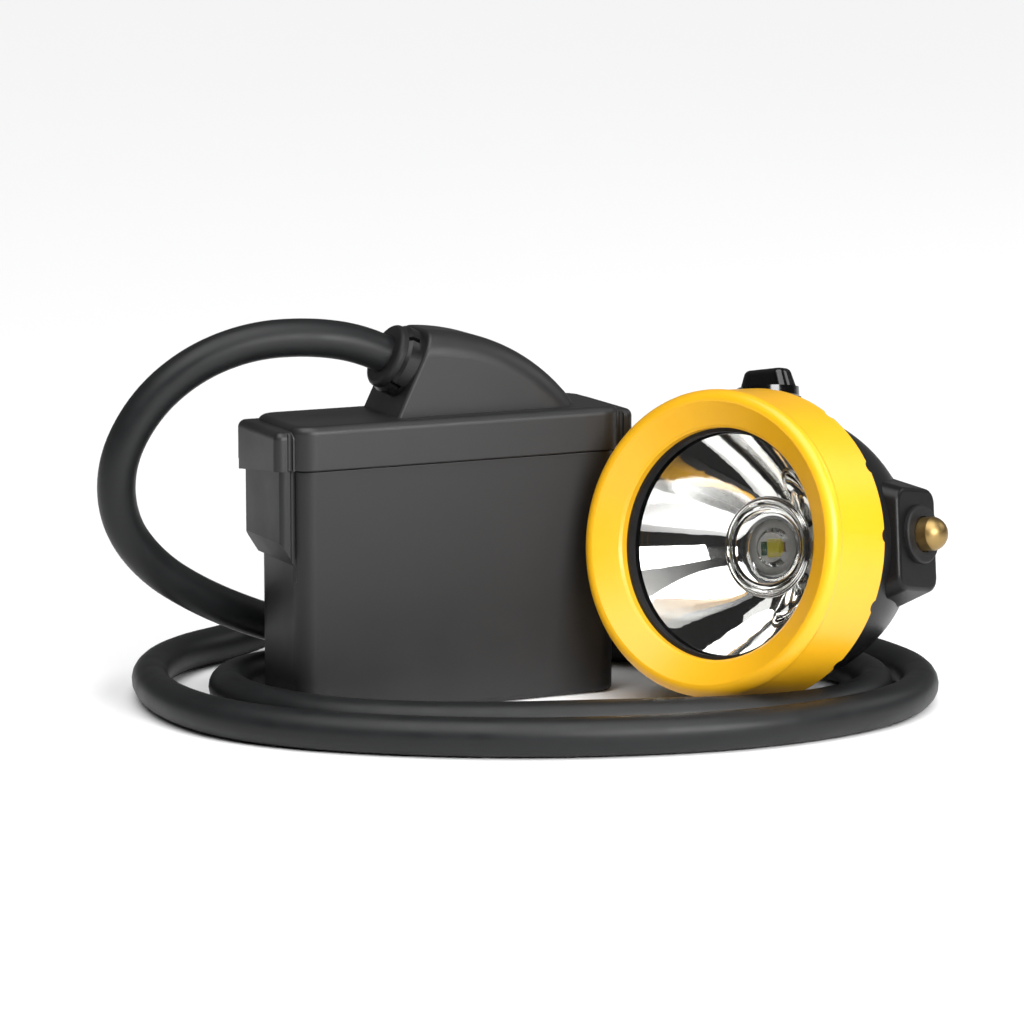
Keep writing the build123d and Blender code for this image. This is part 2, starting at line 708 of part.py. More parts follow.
def side_block():
    """Tapered block on the side, standing square to the head's X axis."""
    mid = (block_front_z + block_back_z) / 2
    depth = block_front_z - block_back_z
    top = Plane(origin=(block_out, 0, mid), x_dir=(0, 1, 0), z_dir=(1, 0, 0)) * RectangleRounded(
        2 * block_half, depth, block_corner)
    foot = Plane(origin=(tube_r - block_foot, 0, mid + 1.5), x_dir=(0, 1, 0), z_dir=(1, 0, 0)) * RectangleRounded(
        2 * block_half + 9, depth + 4, block_corner + 1)
    block = loft([foot, top])
    rim = block.faces().sort_by(Axis.X)[-1].edges()
    return fillet(rim, 1.2)


def contact_well():
    """Wall around the contact's spring pocket, inside the side block."""
    length = block_out - 1 - well_in
    return Pos(well_in + length / 2, contact_y, contact_z) * SIDE_X * Cylinder(contact_r + well_wall, length)


def oring_groove():
    groove = Cylinder(tube_r + 1, 2.0) - Cylinder(oring_r - oring_wire_r, 3)
    return Pos(0, 0, oring_z) * groove


def housing_seal():
    return Pos(0, 0, oring_z) * Torus(oring_r, oring_wire_r)


def led_board():
    board = Pos(0, 0, led_board_z - led_board_t / 2) * Cylinder(led_board_r, led_board_t)
    for i in range(6):
        a = radians(30 + 60 * i)
        board -= tube_z(1.2, led_board_z - 3, led_board_z + 1, led_board_r * cos(a), led_board_r * sin(a))
    return board


def led_emitter():
    base = Pos(0, 0, led_board_z + 0.3) * Box(3.5, 3.5, 0.6)
    return base + Pos(0, 0, led_board_z + 0.75) * Box(chip_side, chip_side, 0.3)


def led_lens():
    """Clear domed lens standing on the board over the emitter."""
    r = eye_r - 0.2
    top = eye_z + 2.6
    hollow = led_board_z + 1.8
    outline = (dome(r, eye_z - 0.4, top)
               + Polyline((0, top), (0, hollow), (3.4, hollow), (4.2, led_board_z), (r, led_board_z),
                          (r, eye_z - 0.4)))
    return revolve(make_face(Plane.XZ * outline), Axis.Z)


def heat_sink():
    sink = tube_z(plate_r, plate_back_z, plate_z)
    sink += tube_z(fin_r, fin_back_z, plate_back_z)
    sink -= Pos(0, plate_r, plate_z) * Box(19, 17, 12)
    for i in range(-2, 3):
        slot = Pos(i * 2.6 * fin_gap, 0, (fin_back_z + plate_back_z) / 2 - 0.5)
        sink -= slot * Box(fin_gap, 2 * fin_r + 2, plate_back_z - fin_back_z)
    for i in range(4):
        a = radians(45 + 90 * i)
        sink -= tube_z(1.4, plate_back_z - 1, plate_z + 1, post_at * cos(a), post_at * sin(a))
    return sink


def sink_screws():
    screws = []
    for i in range(4):
        a = radians(45 + 90 * i)
        x = post_at * cos(a)
        y = post_at * sin(a)
        screw = fillet(tube_z(2.3, plate_z, plate_z + 1.5, x, y).faces().sort_by(Axis.Z)[-1].edges(), 0.6)
        screws.append(screw + tube_z(1.2, plate_back_z - 7, plate_z, x, y))
    return Compound(screws)


def driver_board():
    return tube_z(driver_r, driver_z - driver_t, driver_z)


def driver_parts():
    """Coil, controller, diode and two capacitors on the back of the driver board."""
    z = driver_z - driver_t
    parts = [tube_z(3.6, z - 2.6, z, -8, 5)]
    parts.append(Pos(7.5, 5, z - 0.8) * Box(5, 4, 1.6))
    parts.append(Pos(7.5, -5, z - 1.0) * Box(4.4, 2.8, 2.0))
    parts += [Pos(x, -6, z - 0.9) * Box(2.2, 3.2, 1.8) for x in (-10, -6)]
    return Compound(parts)


def head_wires():
    """Two conductors from the cable's cut end to the driver board's edge."""
    wires = []
    for side in (-1, 1):
        start = Vector(-head_tail_in, side * 2, head_gland_z)
        out = Vector(-head_tail_in + 3, side * 2, head_gland_z)
        turn = Vector(1.8 - driver_r, side * 4.2, head_gland_z)
        end = Vector(1.8 - driver_r, side * 4.2, driver_z)
        path = FilletPolyline(start, out, turn, end, radius=1.2)
        wires.append(sweep(Plane(origin=start, z_dir=path % 0) * Circle(0.8), path=path))
    return Compound(wires)


def head_gland_nut():
    nut = slotted_nut(gland_nut_r, gland_bore_r, head_nut_h)
    return Pos(-gland_boss_out, 0, head_gland_z) * Rot(0, -90, 0) * nut


def head_gland_boot():
    """Rubber bush through the gland that runs out into a tapered boot."""
    low = gland_boss_in + 0.5
    nut_end = gland_boss_out + head_nut_h
    bush = Pos(-(low + nut_end) / 2, 0, head_gland_z) * SIDE_X * Cylinder(bush_r, nut_end - low)
    boot = Pos(-(boot_out + nut_end) / 2, 0, head_gland_z) * Rot(0, -90, 0)
    boot = boot * Cone(boot_r0, boot_r1, boot_out - nut_end)
    bore = Pos(-nut_end, 0, head_gland_z) * SIDE_X * Cylinder(cable_r + bush_gap, 60)
    return bush + boot - bore


def head_cable_tail():
    mid = Pos(-(boot_out + head_tail_in) / 2, 0, head_gland_z)
    return mid * SIDE_X * Cylinder(cable_r, boot_out - head_tail_in)


def switch_knob():
    base = Pos(0, knob_low + knob_base_h / 2, knob_z) * SIDE_Y * Cylinder(knob_base_r, knob_base_h)
    foot = Plane(origin=(0, knob_low + 0.8, knob_z), x_dir=(1, 0, 0), z_dir=(0, 1, 0))
    tip = Plane(origin=(0, knob_top, knob_z), x_dir=(1, 0, 0), z_dir=(0, 1, 0))
    grip = loft([foot * RectangleRounded(knob_grip_w, knob_grip_t, 2.6),
                 tip * RectangleRounded(knob_grip_w - knob_taper, knob_grip_t - 1.4, 2.2)])
    grip = fillet(grip.faces().sort_by(Axis.Y)[-1].edges(), 1.7)
    knob = base + grip
    return knob - Pos(0, (knob_low + shaft_top) / 2, knob_z) * SIDE_Y * Cylinder(shaft_r, shaft_top - knob_low)


def switch_shaft():
    return Pos(0, (shaft_low + shaft_top) / 2, knob_z) * SIDE_Y * Cylinder(shaft_r, shaft_top - shaft_low)


def switch_module():
    top = boss_low - washer_t
    body = Pos(0, top - 4, knob_z) * Box(13, 8, 12.4)
    body += Pos(0, (top + boss_top) / 2 - 0.1, knob_z) * SIDE_Y * Cylinder(bushing_r, boss_top - top - 0.2)
    return body - Pos(0, shaft_low + 9.8, knob_z) * SIDE_Y * Cylinder(shaft_r + shaft_gap, 20)


def switch_washer():
    ring = Cylinder(bushing_r + 2, washer_t) - Cylinder(bushing_r + bushing_gap, 2)
    return Pos(0, boss_low - washer_t / 2, knob_z) * SIDE_Y * ring


def contact_pin():
    r = contact_r
    shank = contact_tip - 3.2
    outline = (Polyline((0, contact_tip), (0, stem_low), (stem_r, stem_low), (stem_r, contact_seat),
                        (r, contact_seat), (r, shank)) + dome(r, shank, contact_tip))
    pin = revolve(make_face(Plane.XZ * outline), Axis.Z)
    return Pos(0, contact_y, contact_z) * SIDE_X * pin


def contact_clip():
    ring = Cylinder(clip_r, clip_t) - Cylinder(stem_r, 2)
    return Pos(well_in - clip_t / 2 - 0.02, contact_y, contact_z) * SIDE_X * ring


def contact_collar():
    ring = Cylinder(collar_r, collar_h, align=(Align.CENTER, Align.CENTER, Align.MIN))
    ring = fillet(ring.faces().sort_by(Axis.Z)[-1].edges(), 0.6)
    ring -= Cylinder(contact_r + 0.3, 8)
    return Pos(block_out, contact_y, contact_z) * SIDE_X * ring


def contact_spring():
    height = contact_seat - guide_low - 2 * spring_wire_r - 0.3
    path = Helix(pitch=height / spring_turns, height=height, radius=spring_r)
    coil = sweep(Plane(origin=path @ 0, z_dir=path % 0) * Circle(spring_wire_r), path=path, is_frenet=True)
    return Pos(guide_low + spring_wire_r + 0.15, contact_y, contact_z) * SIDE_X * coil


def contact_strip():
    """Brass strip on the driver board that the contact's stem meets when pressed home."""
    x = stem_low - contact_travel - 0.3
    top = contact_z + 3
    strip = Pos(x, contact_y, (top + driver_z) / 2) * Box(0.5, 5, top - driver_z)
    foot = driver_r - 5
    return strip + Pos((x + foot) / 2, contact_y, driver_z + 0.25) * Box(x - foot, 5, 0.5)


def helmet_hook():
    """Flat spring-steel hook: a pad screwed to the back and a tongue that stands off it."""
    z = back_z
    side = (Polyline((-hook_h / 2, z), (hook_h / 2, z), (hook_h / 2, z - hook_stand),
                     (-hook_h / 2 + 4, z - hook_stand), (-hook_h / 2, z - hook_stand - 1.6),
                     (-hook_h / 2, z - hook_stand + 0.2), (-hook_h / 2 + 4, z - hook_stand + hook_t),
                     (hook_h / 2 - hook_t, z - hook_stand + hook_t), (hook_h / 2 - hook_t, z - hook_t),
                     (-hook_h / 2, z - hook_t), close=True))
    face = make_face(Plane.YZ * side)
    hook = Pos(-hook_w / 2, 0, 0) * extrude(face, amount=hook_w, dir=(1, 0, 0))
    for y in hook_holes:
        hook -= tube_z(1.3, z - hook_t - 0.5, z + 1, 0, y)
        hook -= tube_z(2.7, z - 12, z - hook_stand + hook_t + 0.3, 0, y)
    return hook


def hook_screws():
    screws = []
    for y in hook_holes:
        head = fillet(tube_z(2.3, back_z - hook_t - 1.4, back_z - hook_t, 0, y).faces().sort_by(Axis.Z)[0].edges(), 0.6)
        screws.append(head + tube_z(1.2, back_z - hook_t, back_z + 4.4, 0, y))
    return Compound(screws)


def finished_housing():
    shell = lamp_housing()
    for i in range(3):
        a = radians(90 + 120 * i)
        x = board_post_at * cos(a)
        y = board_post_at * sin(a)
        shell += tube_z(2.0, back_z + 1, driver_z - driver_t, x, y)
    for y in hook_holes:
        shell += tube_z(2.8, back_z + 1, back_z + 5.0, 0, y)
        shell -= tube_z(1.25, back_z - 1, back_z + 4.6, 0, y)
    return shell


# ---------------------------------------------------------------- write the parts
pack_nodes = {
    "pack_case": pack_case, "pack_lid": pack_lid, "lid_gasket": lid_gasket,
    "battery_cells": battery_cells, "cell_cradle": cell_cradle, "cell_spacer": cell_spacer,
    "cell_strips": cell_strips, "protection_board": protection_board, "board_parts": board_parts,
    "tie_screws": tie_screws, "lid_inserts": lid_inserts, "pack_gland_nut": pack_gland_nut,
    "pack_gland_bush": pack_gland_bush, "pack_cable_tail": pack_cable_tail,
    "pack_wires": pack_wires, "lamp_cable": lamp_cable,
}
head_nodes = {
    "bezel_ring": bezel_ring, "lens_gasket": lens_gasket, "lens": lens, "reflector": reflector,
    "lamp_housing": finished_housing, "housing_seal": housing_seal, "led_board": led_board,
    "led_emitter": led_emitter, "led_lens": led_lens, "heat_sink": heat_sink,
    "sink_screws": sink_screws, "driver_board": driver_board, "driver_parts": driver_parts,
    "head_wires": head_wires, "head_gland_nut": head_gland_nut, "head_gland_boot": head_gland_boot,
    "head_cable_tail": head_cable_tail, "switch_knob": switch_knob, "switch_shaft": switch_shaft,
    "switch_module": switch_module, "switch_washer": switch_washer, "contact_pin": contact_pin,
    "contact_clip": contact_clip, "contact_collar": contact_collar, "contact_spring": contact_spring,
    "contact_strip": contact_strip, "helmet_hook": helmet_hook, "hook_screws": hook_screws,
}

os.makedirs("parts", exist_ok=True)
for name, make in pack_nodes.items():
    export_step(make(), f"parts/{name}.step")
for name, make in head_nodes.items():
    export_step(head_loc * make(), f"parts/{name}.step")

for label, point in (("knob", (0, boss_top, knob_z)), ("contact tip", (contact_tip, contact_y, contact_z)),
                     ("hook", (0, 0, back_z)), ("lip", (0, 0, 0))):
    print(label, [round(v, 3) for v in head_point(*point)])
for label, axis in (("knob axis", (0, 1, 0)), ("contact axis", (1, 0, 0)), ("beam", (0, 0, 1))):
    print(label, [round(v, 6) for v in head_axis(*axis)])
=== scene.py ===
import bpy
import math
from mathutils import Matrix, Vector


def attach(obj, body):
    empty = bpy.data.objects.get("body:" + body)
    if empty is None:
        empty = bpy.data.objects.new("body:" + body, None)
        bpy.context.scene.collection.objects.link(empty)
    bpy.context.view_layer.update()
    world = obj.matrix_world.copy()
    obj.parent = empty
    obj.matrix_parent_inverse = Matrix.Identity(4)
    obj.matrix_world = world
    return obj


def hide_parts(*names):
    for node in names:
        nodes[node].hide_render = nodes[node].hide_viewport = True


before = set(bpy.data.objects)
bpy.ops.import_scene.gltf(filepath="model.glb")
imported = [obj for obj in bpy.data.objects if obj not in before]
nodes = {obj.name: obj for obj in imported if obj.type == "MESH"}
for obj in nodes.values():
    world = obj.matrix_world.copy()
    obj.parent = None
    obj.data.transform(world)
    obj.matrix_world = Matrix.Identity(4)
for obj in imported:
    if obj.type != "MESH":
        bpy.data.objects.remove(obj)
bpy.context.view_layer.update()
print("stage: frame loaded,", len(nodes), "parts")


def deselect():
    bpy.ops.object.select_all(action="DESELECT")


deselect()


# sRGB hex to the linear colour that a shader takes
def linear(hexColour):
    digits = hexColour.lstrip("#")
    out = []
    for i in (0, 2, 4):
        c = int(digits[i:i + 2], 16) / 255
        out.append(c / 12.92 if c <= 0.04045 else ((c + 0.055) / 1.055) ** 2.4)
    return (*out, 1.0)


# one node, its properties, its input values and its links
def addNode(tree, kind, props=None, values=None, links=None):
    node = tree.nodes.new(kind)
    for name, value in (props or {}).items():
        setattr(node, name, value)
    for name, value in (values or {}).items():
        node.inputs[name].default_value = value
    for name, socket in (links or {}).items():
        tree.links.new(socket, node.inputs[name])
    return node


# the camera stands low in front, a little to the left, with a long lens
cameraSettings = {
    "place": (-0.424116, -0.944542, 0.225403),
    "looksAlong": (0.41928461, 0.89176034, -0.17018786),
    "lens": 148.67,
    "sensor": 36.0,
}
camData = bpy.data.cameras.new("studioCamera")
camData.lens = cameraSettings["lens"]
camData.sensor_width = cameraSettings["sensor"]
camData.dof.use_dof = False
camData.clip_start = 0.05
camData.clip_end = 60
camera = bpy.data.objects.new("studioCamera", camData)
camera.location = cameraSettings["place"]
camera.rotation_mode = "QUATERNION"
camera.rotation_quaternion = Vector(cameraSettings["looksAlong"]).to_track_quat("-Z", "Y")
bpy.context.scene.collection.objects.link(camera)
bpy.context.scene.camera = camera
bpy.context.scene.view_settings.view_transform = "Standard"

# the cable comes next, because the rest lies around it
cable = {
    "radius": 0.0047,
    "length": 1.223,
    "exit": (-0.01481, 0.0, 0.08705),
    "route": [
        (-14.81, 0, 87.05), (-21.09, 0, 90.14), (-34, 1.5, 92.3), (-48.5, 3.5, 91.8), (-62.5, 6, 86.7),
        (-74, 8.5, 77), (-81, 11, 63), (-79.5, 14, 48), (-70, 17, 35.5), (-55.5, 20.5, 26),
        (-38, 26.5, 17.8), (-20, 39, 11), (1, 51, 5.5), (25, 58, 4.7), (50, 57.5, 4.7), (73, 47, 4.7),
        (90, 31, 4.7), (102, 12, 4.7), (109, -8, 4.7), (112.3, -28, 4.7), (110.5, -47, 4.7),
        (101.5, -64, 4.7), (86, -77, 4.7), (64, -83.5, 4.7), (40, -84.5, 4.7), (15, -79.5, 4.7),
        (-9, -71, 4.7), (-32, -58, 4.7), (-52, -42, 4.7), (-66, -23, 4.7), (-71, -2, 4.7),
        (-69.5, 20, 4.7), (-62, 40, 4.7), (-48, 56, 4.7), (-29, 65, 4.7), (-11, 68, 9), (4, 63, 17),
        (18, 54, 17), (31, 44, 9.5), (43, 32.5, 4.7), (55, 20.5, 4.7), (68, 11, 4.7), (82, 1.5, 4.7),
        (93, -12, 4.7), (99.5, -30, 4.7), (98, -48, 4.7), (88, -63, 4.7), (72, -71.5, 4.7),
        (55, -72, 4.7), (36, -67, 4.7), (15, -60, 4.7), (-7, -52.5, 4.7), (-27, -42.5, 4.7),
        (-42, -30, 4.7), (-51, -15, 4.7), (-54, 1, 4.7), (-52.5, 13, 4.7), (-46.5, 22, 4.7),
        (-37.5, 27.5, 4.7), (-26, 28.5, 4.7), (-13, 27.8, 4.7), (0, 26.5, 4.7), (12, 27, 7.5),
        (22.5, 28.3, 13), (33.5, 27.8, 18.5), (44.8, 24, 23.5), (54.98, 14.76, 26.82), (60.11, 5.21, 28.7),
    ],
}
curve = bpy.data.curves.new("cableCord", "CURVE")
curve.dimensions = "3D"
curve.bevel_depth = 1.0          # each point's own radius then carries the cable's
curve.bevel_resolution = 8
curve.resolution_u = 8
curve.use_fill_caps = True
line = curve.splines.new("NURBS")
line.points.add(len(cable["route"]) - 1)
for point, (x, y, z) in zip(line.points, cable["route"]):
    point.co = (x / 1000, y / 1000, z / 1000, 1)
    point.radius = cable["radius"]
line.order_u = 3
line.use_endpoint_u = True
cableCord = bpy.data.objects.new("cableCord", curve)
bpy.context.scene.collection.objects.link(cableCord)
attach(cableCord, "lamp")
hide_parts("lamp_cable")
print("stage: cable laid")

# a pale table and soft studio light
studio = {
    "tableSize": 24.0,
    "table": "#F7F7F7",
    "skyFront": 0.02,     # the dark room behind the camera
    "skyBack": 0.16,      # the pale sweep behind the lamp
    "skyStart": -0.1,     # where the one turns into the other, along the depth
    "skyEnd": 0.5,
    "topLight": 3.15,
    "topWidth": 60,       # degrees, so that its shadows are soft
    "topTilt": (18, -12, 0),
}
bpy.ops.mesh.primitive_plane_add(size=studio["tableSize"], location=(0, 0, -0.0002))
table = bpy.context.object
table.name = "studioTable"
deselect()

world = bpy.data.worlds.new("studioSky")
bpy.context.scene.world = world
world.use_nodes = True
sky = world.node_tree
sky.nodes.clear()
where = addNode(sky, "ShaderNodeTexCoord")
split = addNode(sky, "ShaderNodeSeparateXYZ", links={"Vector": where.outputs["Generated"]})
depth = addNode(sky, "ShaderNodeMapRange",
                values={"From Min": studio["skyStart"], "From Max": studio["skyEnd"],
                        "To Min": studio["skyFront"], "To Max": studio["skyBack"]},
                links={"Value": split.outputs["Y"]})
glow = addNode(sky, "ShaderNodeBackground", values={"Color": (1, 1, 1, 1)},
               links={"Strength": depth.outputs["Result"]})
addNode(sky, "ShaderNodeOutputWorld", links={"Surface": glow.outputs["Background"]})


# three soft boxes: places and sizes in metres, power in watts
softBoxes = {
    "leftBox": {"place": (-1.1, -0.8, 1.2), "aim": (0.02, -0.02, 0.04),
        "size": (0.6, 0.5), "power": 1.2},
    "frontBox": {"place": (0.06, -0.44, 0.2), "aim": (-0.02, -0.02, 0.06),
        "size": (0.24, 0.14), "power": 2.0},
    "rightBox": {"place": (1.3, -0.3, 0.9), "aim": (0.04, -0.02, 0.04),
        "size": (0.8, 0.6), "power": 4},
}


# a soft box of light at a place, aimed at a point
def softBox(name, place, aim, size, power):
    data = bpy.data.lights.new(name, "AREA")
    data.shape = "RECTANGLE"
    data.size, data.size_y = size
    data.energy = power
    lamp = bpy.data.objects.new(name, data)
    lamp.location = place
    lamp.rotation_mode = "QUATERNION"
    lamp.rotation_quaternion = (Vector(aim) - Vector(place)).to_track_quat("-Z", "Y")
    bpy.context.scene.collection.objects.link(lamp)


for name, box in softBoxes.items():
    softBox(name, **box)
sunData = bpy.data.lights.new("broadTop", "SUN")
sunData.energy = studio["topLight"]
sunData.angle = math.radians(studio["topWidth"])
sun = bpy.data.objects.new("broadTop", sunData)
sun.rotation_euler = [math.radians(turn) for turn in studio["topTilt"]]
bpy.context.scene.collection.objects.link(sun)
print("stage: studio set")


# a material with an empty Principled surface, and the object's own coordinates
def newMaterial(name):
    made = bpy.data.materials.new(name)
    made.use_nodes = True
    tree = made.node_tree
    tree.nodes.clear()
    shader = addNode(tree, "ShaderNodeBsdfPrincipled")
    addNode(tree, "ShaderNodeOutputMaterial", links={"Surface": shader.outputs["BSDF"]})
    spot = addNode(tree, "ShaderNodeTexCoord")
    return made, tree, shader, spot.outputs["Object"]


# moulded plastics and rubbers: two tones, uneven gloss and a fine moulded grain
def moulded(name, dark, light, rough, roughSpread, grainMm, grainDepth, smudgeMm=18, shine=0.5):
    made, tree, shader, spot = newMaterial(name)
    shader.inputs["Specular IOR Level"].default_value = shine
    smudge = addNode(tree, "ShaderNodeTexNoise",
                     values={"Scale": 1000 / smudgeMm, "Detail": 4.0, "Roughness": 0.6},
                     links={"Vector": spot})
    tone = addNode(tree, "ShaderNodeMix", {"data_type": "RGBA"}, links={"Factor": smudge.outputs["Fac"]})
    tone.inputs["A"].default_value = linear(dark)
    tone.inputs["B"].default_value = linear(light)
    tree.links.new(tone.outputs["Result"], shader.inputs["Base Color"])
    gloss = addNode(tree, "ShaderNodeMapRange",
                    values={"From Min": 0.3, "From Max": 0.7,
                            "To Min": rough - roughSpread, "To Max": rough + roughSpread},
                    links={"Value": smudge.outputs["Fac"]})
    tree.links.new(gloss.outputs["Result"], shader.inputs["Roughness"])
    grain = addNode(tree, "ShaderNodeTexNoise", values={"Scale": 1000 / grainMm, "Detail": 3.0},
                    links={"Vector": spot})
    bump = addNode(tree, "ShaderNodeBump", values={"Strength": grainDepth, "Distance": 0.0001},
                   links={"Height": grain.outputs["Fac"]})
    tree.links.new(bump.outputs["Normal"], shader.inputs["Normal"])
    return made


# metals: one colour, brushed or drawn lines along an axis
def metal(name, colour, darker, rough, lineMm, stretch):
    made, tree, shader, spot = newMaterial(name)
    shader.inputs["Metallic"].default_value = 1.0
    turn = addNode(tree, "ShaderNodeMapping", values={"Scale": stretch}, links={"Vector": spot})
    lines = addNode(tree, "ShaderNodeTexNoise", values={"Scale": 1000 / lineMm, "Detail": 3.0},
                    links={"Vector": turn.outputs["Vector"]})
    tone = addNode(tree, "ShaderNodeMix", {"data_type": "RGBA"}, links={"Factor": lines.outputs["Fac"]})
    tone.inputs["A"].default_value = linear(darker)
    tone.inputs["B"].default_value = linear(colour)
    tree.links.new(tone.outputs["Result"], shader.inputs["Base Color"])
    gloss = addNode(tree, "ShaderNodeMapRange", values={"To Min": rough * 0.75, "To Max": rough * 1.3},
                    links={"Value": lines.outputs["Fac"]})
    tree.links.new(gloss.outputs["Result"], shader.inputs["Roughness"])
    bump = addNode(tree, "ShaderNodeBump", values={"Strength": 0.12, "Distance": 0.00005},
                   links={"Height": lines.outputs["Fac"]})
    tree.links.new(bump.outputs["Normal"], shader.inputs["Normal"])
    return made


# clear polycarbonate: water-clear, a hard polish, faint dust that scatters
def clearPlastic(name):
    made, tree, shader, spot = newMaterial(name)
    shader.inputs["Base Color"].default_value = (1, 1, 1, 1)
    shader.inputs["Transmission Weight"].default_value = 1.0
    shader.inputs["IOR"].default_value = 1.5
    # dust specks a little over a millimetre across, drawn coarser than real so that they show
    dust = addNode(tree, "ShaderNodeTexNoise", values={"Scale": 900.0, "Detail": 3.0}, links={"Vector": spot})
    haze = addNode(tree, "ShaderNodeMapRange",
                   values={"From Min": 0.62, "From Max": 0.8, "To Min": 0.0, "To Max": 0.04},
                   links={"Value": dust.outputs["Fac"]})
    tree.links.new(haze.outputs["Result"], shader.inputs["Roughness"])
    return made


# polycarbonate blend moulded in a spark-eroded tool: deep charcoal with an even satin
caseBlack = moulded("mouldedPolycarbonateBlack", dark="#131314", light="#1C1C1D",
                    rough=0.5, roughSpread=0.05, grainMm=0.45, grainDepth=0.12, shine=0.45)
# the lid comes from a finer tool: the same charcoal, a little glossier on its edges
lidBlack = moulded("mouldedPolycarbonateLid", dark="#131314", light="#1B1B1C",
                   rough=0.47, roughSpread=0.05, grainMm=0.45, grainDepth=0.12, shine=0.5)
# moulded nylon of the lamp head: darker and smoother than the case
housingBlack = moulded("mouldedNylonBlack", dark="#0B0B0C", light="#131314",
                       rough=0.36, roughSpread=0.05, grainMm=0.4, grainDepth=0.08, shine=0.22)
# glass-filled nylon of the gland nuts: small bright flecks of gloss on a dark grey
glandBlack = moulded("glassFilledNylonBlack", dark="#0F0F10", light="#19191A",
                     rough=0.36, roughSpread=0.06, grainMm=0.35, grainDepth=0.1, smudgeMm=6, shine=0.3)
# polished ABS knob: a hard mirror gloss over near black
knobBlack = moulded("polishedAbsBlack", dark="#070707", light="#0C0C0D",
                    rough=0.16, roughSpread=0.04, grainMm=0.6, grainDepth=0.03, smudgeMm=8)
# extruded chloroprene cable jacket: soft broad sheen along the cable, fine talc bloom
cableRubber = moulded("extrudedChloropreneRubber", dark="#101112", light="#1A1B1C",
                      rough=0.45, roughSpread=0.06, grainMm=0.3, grainDepth=0.2, smudgeMm=9, shine=0.3)
# moulded nitrile seals and boots: the dullest black of the lamp
sealRubber = moulded("mouldedNitrileRubber", dark="#101011", light="#19191A",
                     rough=0.55, roughSpread=0.06, grainMm=0.3, grainDepth=0.15, smudgeMm=6, shine=0.3)
# self-coloured yellow ABS bezel: warm, saturated, with a soft gloss from handling
bezelYellow = moulded("mouldedAbsYellow", dark="#D99E0C", light="#E4AC19",
                      rough=0.36, roughSpread=0.05, grainMm=0.5, grainDepth=0.05, smudgeMm=22)
# natural nylon cradle: milky off-white, slightly translucent to the eye
natural = moulded("mouldedNaturalNylon", dark="#B8B4A8", light="#CFCBBE",
                  rough=0.5, roughSpread=0.05, grainMm=0.5, grainDepth=0.1)
# brushed brass contact: warm and dulled by handling, with fine turned lines
brass = metal("brushedBrass", colour="#A38A5C", darker="#877044",
              rough=0.4, lineMm=0.25, stretch=(1, 1, 6))
# zinc-plated steel: cool grey with faint drawn lines
steel = metal("zincPlatedSteel", colour="#B4B6B8", darker="#8E9092",
              rough=0.32, lineMm=0.3, stretch=(1, 1, 5))
# rolled nickel strip: pale, a touch yellow, lined along the strip
nickel = metal("rolledNickel", colour="#C5BFB2", darker="#A8A296",
               rough=0.3, lineMm=0.3, stretch=(5, 1, 1))
# machined aluminium: light grey with tool lines
aluminium = metal("machinedAluminium", colour="#C8CACC", darker="#A9ABAD",
                  rough=0.34, lineMm=0.25, stretch=(1, 1, 4))
# vacuum-aluminised bowl: a clean mirror with a faint ripple
mirrorCoat = metal("vacuumAluminisedMirror", colour="#F4F4F2", darker="#EEEEEC",
                   rough=0.03, lineMm=3.0, stretch=(1, 1, 1))
# polished polycarbonate window: clear, with a hard thin highlight
lensClear = clearPlastic("polishedPolycarbonateClear")
# moulded acrylic dome over the LED: clear and thick, it bends what lies below
domeClear = clearPlastic("mouldedAcrylicClear")
# green solder mask: glossy and thin over the laminate
boardGreen = moulded("solderMaskGreen", dark="#0F4A26", light="#16603A",
                     rough=0.3, roughSpread=0.06, grainMm=0.5, grainDepth=0.1, smudgeMm=5)
# white solder mask of the LED's metal-core board
boardWhite = moulded("solderMaskWhite", dark="#D8D8D2", light="#E6E6E0",
                     rough=0.35, roughSpread=0.06, grainMm=0.5, grainDepth=0.1, smudgeMm=5)
# epoxy-moulded electronic parts: flat dark grey
partBlack = moulded("epoxyMouldedBlack", dark="#101012", light="#1B1B1D",
                    rough=0.5, roughSpread=0.06, grainMm=0.3, grainDepth=0.15, smudgeMm=4)
# cerium phosphor cap of the LED: a chalky lemon yellow
phosphor = moulded("ceriumPhosphorYellow", dark="#D9C51E", light="#E8DA3A",
                   rough=0.5, roughSpread=0.06, grainMm=0.2, grainDepth=0.1, smudgeMm=2)
# heat-shrink sleeve round each cell: glossy mid blue
sleeveBlue = moulded("shrinkSleeveBlue", dark="#1E4E8C", light="#275C9E",
                     rough=0.3, roughSpread=0.06, grainMm=0.5, grainDepth=0.1, smudgeMm=12)
# silicone wire insulation: soft dark red
wireRed = moulded("siliconeInsulationRed", dark="#8E1212", light="#A81C1C",
                  rough=0.45, roughSpread=0.05, grainMm=0.3, grainDepth=0.1, smudgeMm=5)
# bare copper land, tinned and browned by heat
landTan = moulded("heatBrownedLand", dark="#9A7B4E", light="#B08F5E",
                  rough=0.4, roughSpread=0.06, grainMm=0.3, grainDepth=0.1, smudgeMm=2)

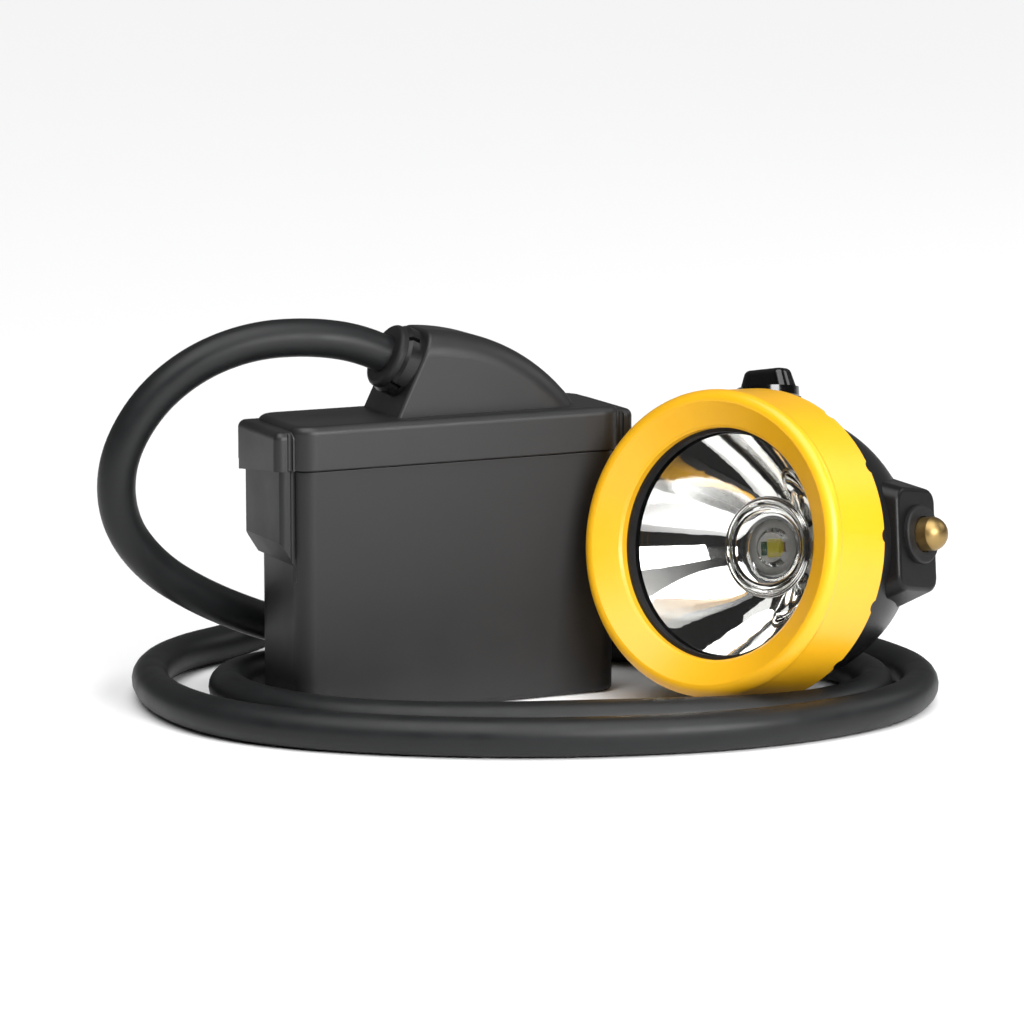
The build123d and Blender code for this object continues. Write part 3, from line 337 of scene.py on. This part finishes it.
finishes = {
    "pack_case": caseBlack, "pack_lid": lidBlack, "lid_gasket": sealRubber, "battery_cells": sleeveBlue,
    "cell_cradle": natural, "cell_spacer": natural, "cell_strips": nickel, "protection_board": boardGreen,
    "board_parts": partBlack, "pack_wires": wireRed, "tie_screws": steel, "lid_inserts": brass,
    "pack_gland_nut": glandBlack, "pack_gland_bush": sealRubber, "pack_cable_tail": cableRubber,
    "lamp_cable": cableRubber, "lamp_housing": housingBlack, "bezel_ring": bezelYellow,
    "lens_gasket": sealRubber, "lens": lensClear, "reflector": mirrorCoat, "led_board": boardWhite,
    "led_emitter": phosphor, "led_lens": domeClear, "heat_sink": aluminium, "sink_screws": steel,
    "driver_board": boardGreen, "driver_parts": partBlack, "head_wires": wireRed,
    "housing_seal": sealRubber, "switch_module": partBlack, "switch_washer": sealRubber,
    "switch_shaft": steel, "switch_knob": knobBlack, "contact_collar": sealRubber, "contact_pin": brass,
    "contact_clip": steel, "contact_spring": steel, "contact_strip": brass, "head_gland_nut": glandBlack,
    "head_gland_boot": sealRubber, "head_cable_tail": cableRubber, "helmet_hook": steel, "hook_screws": steel,
}
for name, finish in finishes.items():
    slots = nodes[name].data.materials
    slots.clear()
    slots.append(finish)
cableCord.data.materials.append(cableRubber)

# the lamp head's own axes: across towards the contact, up towards the knob, and along the beam
head = {
    "middle": Vector((0.05031, -0.05135, 0.0432)),
    "across": Vector((0.466279, -0.867988, 0.170823)),
    "up": Vector((0.081147, 0.234251, 0.968784)),
    "beam": Vector((-0.880908, -0.437862, 0.179661)),
}


# millimetres in the head's axes to metres in the shared frame
def headPoint(x, y, z):
    return head["middle"] + (head["across"] * x + head["up"] * y + head["beam"] * z) / 1000


# two solder lands beside the LED, under its clear dome
lands = {
    "aside": 2.62,         # from the LED's middle to the land's
    "boardFace": -27.4,
    "across": 1.5,
    "along": 2.6,
    "thick": 0.14,
}


def solderLand(name, x, finish):
    deselect()
    bpy.ops.mesh.primitive_cube_add(size=1, location=(0, 0, 0))
    land = bpy.context.object
    land.name = name
    bpy.ops.object.mode_set(mode="EDIT")
    bpy.ops.transform.resize(value=(lands["across"] / 1000, lands["along"] / 1000, lands["thick"] / 1000))
    bpy.ops.mesh.bevel(offset=lands["thick"] / 3000, segments=2, affect="EDGES")
    bpy.ops.object.mode_set(mode="OBJECT")
    turn = Matrix((head["across"], head["up"], head["beam"])).transposed()
    place = headPoint(x, 0, lands["boardFace"] + lands["thick"] / 2)
    land.matrix_world = Matrix.Translation(place) @ turn.to_4x4()
    bpy.ops.object.transform_apply(location=True, rotation=True, scale=True)
    land.data.materials.append(finish)
    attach(land, "lamp")
    deselect()


solderLand("ledLandGreen", -lands["aside"], boardGreen)
solderLand("ledLandBrown", lands["aside"], landTan)
print("stage: solder lands made")

tableWhite, tree, shader, spot = newMaterial("paperBackdrop")
shader.inputs["Base Color"].default_value = linear(studio["table"])
shader.inputs["Roughness"].default_value = 0.9
shader.inputs["Specular IOR Level"].default_value = 0.1
table.data.materials.append(tableWhite)
print("stage: materials made")
